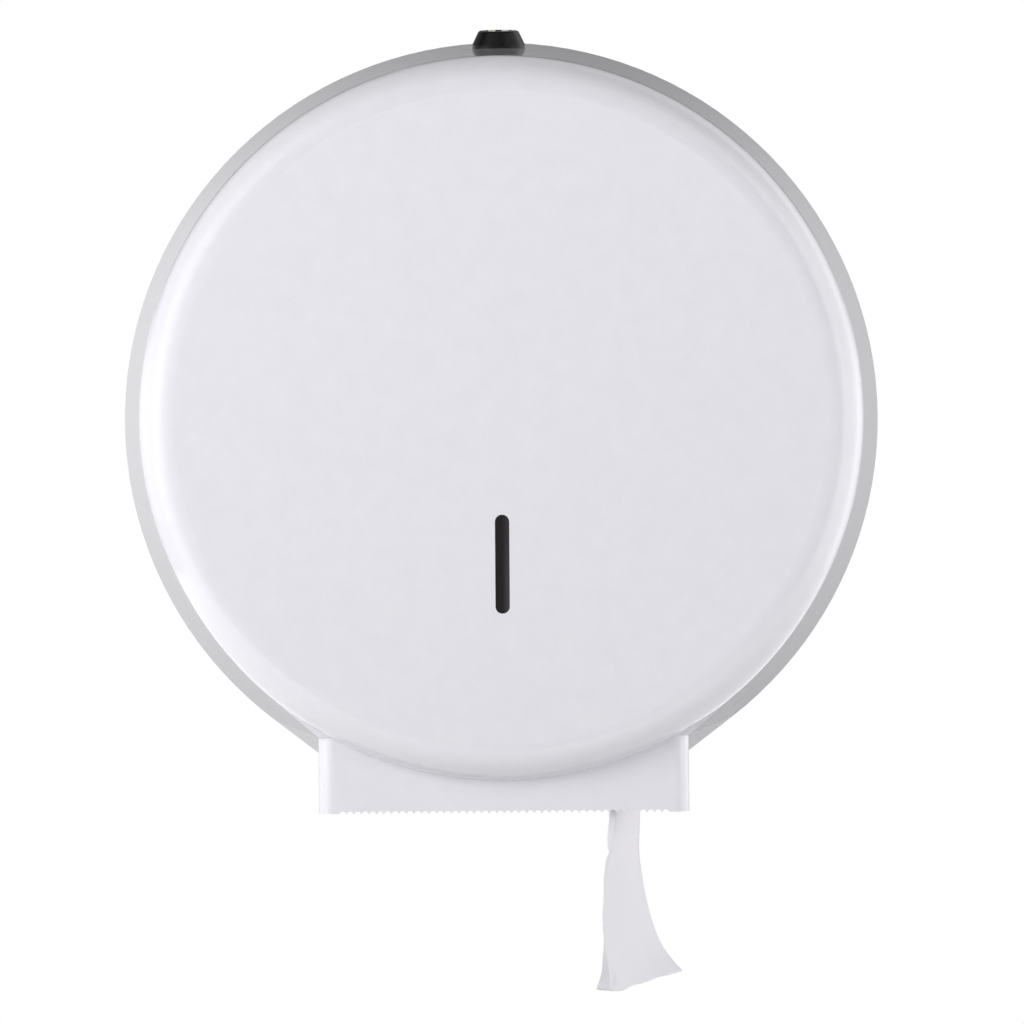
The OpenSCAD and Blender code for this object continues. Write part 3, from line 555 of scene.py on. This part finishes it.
def tail_grid(u):
    """Points of the sheet's middle surface, row by row, its flat coordinates and its rows."""
    lip = SPINDLE_Z - MOUTH_Z
    down = np.concatenate([np.linspace(0, lip, CHUTE_ROWS, endpoint=False),
                           np.linspace(lip, SPINDLE_Z - TAIL_END_Z, HANG_ROWS)])
    points = wrapped_rows(u) + hanging_rows(u, down)
    lengths = np.concatenate([np.arange(WRAP_ROWS) * TAIL_R * WRAP / WRAP_ROWS,
                              TAIL_R * WRAP + down])
    flat = np.array([(share * PAPER_W, length) for length in lengths for share in u])
    return np.array(points), flat, len(lengths)


def tear(points, rows, u):
    """Pulls the last rows to a ragged line, lower at the front corner."""
    rng = np.random.default_rng(11)
    ragged = eased(TORN_EDGE, u) * MM
    ragged = ragged + rng.normal(0, TORN_FIBRES, len(u))
    grid = points.reshape(rows, len(u), 3)
    for i in range(TORN_ROWS):
        share = ((i + 1) / TORN_ROWS) ** 2
        grid[rows - TORN_ROWS + i, :, 2] += ragged * share
    return grid.reshape(-1, 3)


def grid_faces(rows, cols):
    return [(r * cols + c, r * cols + c + 1, (r + 1) * cols + c + 1, (r + 1) * cols + c)
            for r in range(rows - 1) for c in range(cols - 1)]


def thicken(piece, thickness):
    """Gives a sheet its thickness in the mesh itself."""
    modifier = piece.modifiers.new("thickness", "SOLIDIFY")
    modifier.thickness = thickness
    modifier.offset = 0
    depsgraph = bpy.context.evaluated_depsgraph_get()
    solid = bpy.data.meshes.new_from_object(piece.evaluated_get(depsgraph))
    piece.modifiers.clear()
    piece.data = solid


def make_tail(material):
    # Columns from front to back, close together in the folded strip.
    u = np.concatenate([np.linspace(0, 0.08, 17), np.linspace(0.096, 1, 54)])
    points, flat, rows = tail_grid(u)
    points = tear(points, rows, u)
    tail = mesh_piece("paper_tail_sheet", points, grid_faces(rows, len(u)), flat)
    tail.data.materials.append(material)
    bpy.context.view_layer.update()
    thicken(tail, SHEET_T)
    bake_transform(tail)
    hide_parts("paper_tail")


ROLL_TURNS = 56  # edges of turns that show on an end
ROLL_STEPS = 144
GROOVE = 0.32  # depth between two turns, in millimetres
END_INSET = 0.5  # of the ends from the paper's full width, in millimetres


def turn_rings():
    """Rings of the roll's end: radius and depth, each turn a little further in or out."""
    rng = np.random.default_rng(5)
    radii = np.linspace(CORE_R, ROLL_R - 0.25 * MM, ROLL_TURNS * 2 + 1)
    depths = rng.normal(0, 0.10, ROLL_TURNS + 1).cumsum() * 0.35
    depths -= np.linspace(depths[0], depths[-1], ROLL_TURNS + 1)
    depths = np.clip(depths + rng.normal(0, 0.06, ROLL_TURNS + 1), -0.45, 0.45)
    return [(r, GROOVE if i % 2 else 0.0, depths[i // 2]) for i, r in enumerate(radii)]


def roll_profile():
    """Half section of the roll, from the core over the front to the back: y, radius, inset, is_end."""
    rings = turn_rings()
    front = [(PAPER_FRONT, r, END_INSET + g + d, True) for r, g, d in rings]
    middle = np.linspace(PAPER_FRONT + 6 * MM, PAPER_REAR - 6 * MM, 14)
    around = [PAPER_FRONT + 0.9 * MM, *middle, PAPER_REAR - 0.9 * MM]
    back = [(PAPER_REAR, r, -(END_INSET + g - d), True) for r, g, d in reversed(rings)]
    return front + [(y, ROLL_R, 0, False) for y in around] + back


def make_wound_roll(material):
    """The roll: its ends show the edges of the turns."""
    theta = np.linspace(0, 2 * math.pi, ROLL_STEPS, endpoint=False)
    flutter = 0.10 * np.sin(3 * theta + 1) + 0.06 * np.sin(7 * theta)  # it isn't quite round
    profile = roll_profile()
    points, flat = [], []
    run = 0.0
    last = profile[0]
    for y, r, inset, is_end in profile:
        run += math.hypot(y - last[0], r - last[1])
        last = (y, r)
        for t, f in zip(theta, flutter):
            radius = r if is_end else r + f * (0.12 * MM)
            along = y + inset * MM + (f * 0.08 * MM if is_end else 0)
            points.append((radius * math.cos(t), along, SPINDLE_Z + radius * math.sin(t)))
            flat.append((run, t * r))
    faces = []
    for ring in range(len(profile)):  # the last one joins the first in the bore, against the core
        here, there = ring * ROLL_STEPS, (ring + 1) % len(profile) * ROLL_STEPS
        for s in range(ROLL_STEPS):
            n = (s + 1) % ROLL_STEPS
            faces.append((here + s, here + n, there + n, there + s))
    roll = mesh_piece("paper_roll_wound", points, faces, flat)
    roll.data.materials.append(material)
    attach(roll, "roll")
    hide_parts("paper_roll")


# ---------------------------------------------------------------- details of the cover and the lock

APRON_HALF, APRON_FRONT, BEND_R = 81.5, 112, 6.5
DRAFT = math.radians(6.9)
COVER_CONE = 171.611  # r * cos(draft) + h * sin(draft) on the cover's wall
SKIRT_FLARE = 2.5
WELD_STEPS = 8
WELD_SUNK = 0.5  # how far it reaches into the apron's bend and into the cover's wall
WELD_PROUD = 0.02  # how far it stands out from the apron's faces
WELD_SLOPE = 0.09  # fall of its lower edge towards the middle

LOCK_FOOT = (0, -0.042, 0.16778)
SOCKET_R, SOCKET_BAR, SOCKET_FLOOR = 4.8, 2.7, 3.9
RING_TOP = 7.55
RING_OUT, RING_IN = 0.03, 0.73  # distances of the ring's faces from the socket's wall
RING_STEPS = 18


def wall_r(h):
    """Outside radius of the cover's wall at depth h, in millimetres."""
    return (COVER_CONE - h * math.sin(DRAFT)) / math.cos(DRAFT)


def make_corner_welds():
    """Dressed weld that closes the corner between the cover's wall and each bend of the apron."""
    points, faces = [], []
    for side in (-1, 1):
        start = len(points)
        for i in range(WELD_STEPS + 1):
            a = math.pi / 2 * i / WELD_STEPS
            c, s = math.cos(a), math.sin(a)
            inner = (BEND_R - WELD_SUNK) * Vector((c, s))
            outer = (BEND_R + WELD_PROUD) / max(c, s) * Vector((c, s))
            for out in (inner, outer):
                x, h = APRON_HALF - BEND_R + out.x, APRON_FRONT - BEND_R + out.y
                roof = -math.sqrt(wall_r(h) ** 2 - x * x) + WELD_SUNK
                foot = -math.sqrt((wall_r(h) + SKIRT_FLARE) ** 2 - APRON_HALF ** 2)
                foot -= (APRON_HALF - x) * WELD_SLOPE
                points += [(side * x * MM, -h * MM, z * MM) for z in (foot, roof)]
        for i in range(WELD_STEPS):
            a, b = start + 4 * i, start + 4 * (i + 1)
            ring = [(a, b, b + 2, a + 2), (a + 1, a + 3, b + 3, b + 1),
                    (a, a + 1, b + 1, b), (a + 2, b + 2, b + 3, a + 3)]
            faces += [f[::-side] for f in ring]
        end = start + 4 * WELD_STEPS
        faces.append((start, start + 2, start + 3, start + 1)[::-side])
        faces.append((end, end + 1, end + 3, end + 2)[::-side])
    welds = mesh_piece("corner_welds", points, faces, smooth=False)
    welds.data.materials.append(NODES["apron"].data.materials[0])
    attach(welds, "cover")


def make_socket_glint_rings():
    """Pale rings that line the two D-shaped key sockets. Their pale colour is a painted highlight,
    standing in for glints on the lock's top.
    """
    place = Matrix.Translation(LOCK_FOOT) @ Matrix.Rotation(DRAFT, 4, "X")
    points, faces = [], []
    for side in (-1, 1):
        start = len(points)
        loops = []
        for wall in (RING_OUT, RING_IN):
            r, flat = SOCKET_R - wall, SOCKET_BAR / 2 + wall
            reach = math.acos(flat / r)
            loops.append([(side * r * math.cos(t), r * math.sin(t))
                          for t in np.linspace(-reach, reach, RING_STEPS)])
        for z in (SOCKET_FLOOR, RING_TOP):
            for loop in loops:
                points += [tuple(place @ Vector((x * MM, y * MM, z * MM))) for x, y in loop]
        low_out, low_in, top_out, top_in = (start + k * RING_STEPS for k in range(4))
        for i in range(RING_STEPS):
            n = (i + 1) % RING_STEPS
            quads = [(low_out + i, low_out + n, top_out + n, top_out + i),
                     (low_in + n, low_in + i, top_in + i, top_in + n),
                     (top_out + i, top_out + n, top_in + n, top_in + i),
                     (low_out + n, low_out + i, low_in + i, low_in + n)]
            faces += [q[::side] for q in quads]
    rings = mesh_piece("key_socket_painted_glints", points, faces, smooth=False)
    # The rings' pale nylon is a painted highlight: it shows as two light spots on the black lock's
    # top.
    rings.data.materials.append(NODES["hinge_bushes"].data.materials[0])
    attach(rings, "lock_turning")


make_studio()
dress_cad_nodes()
make_corner_welds()
make_socket_glint_rings()
TISSUE = crepe("crepe_tissue").material
make_tail(TISSUE)
make_wound_roll(TISSUE)
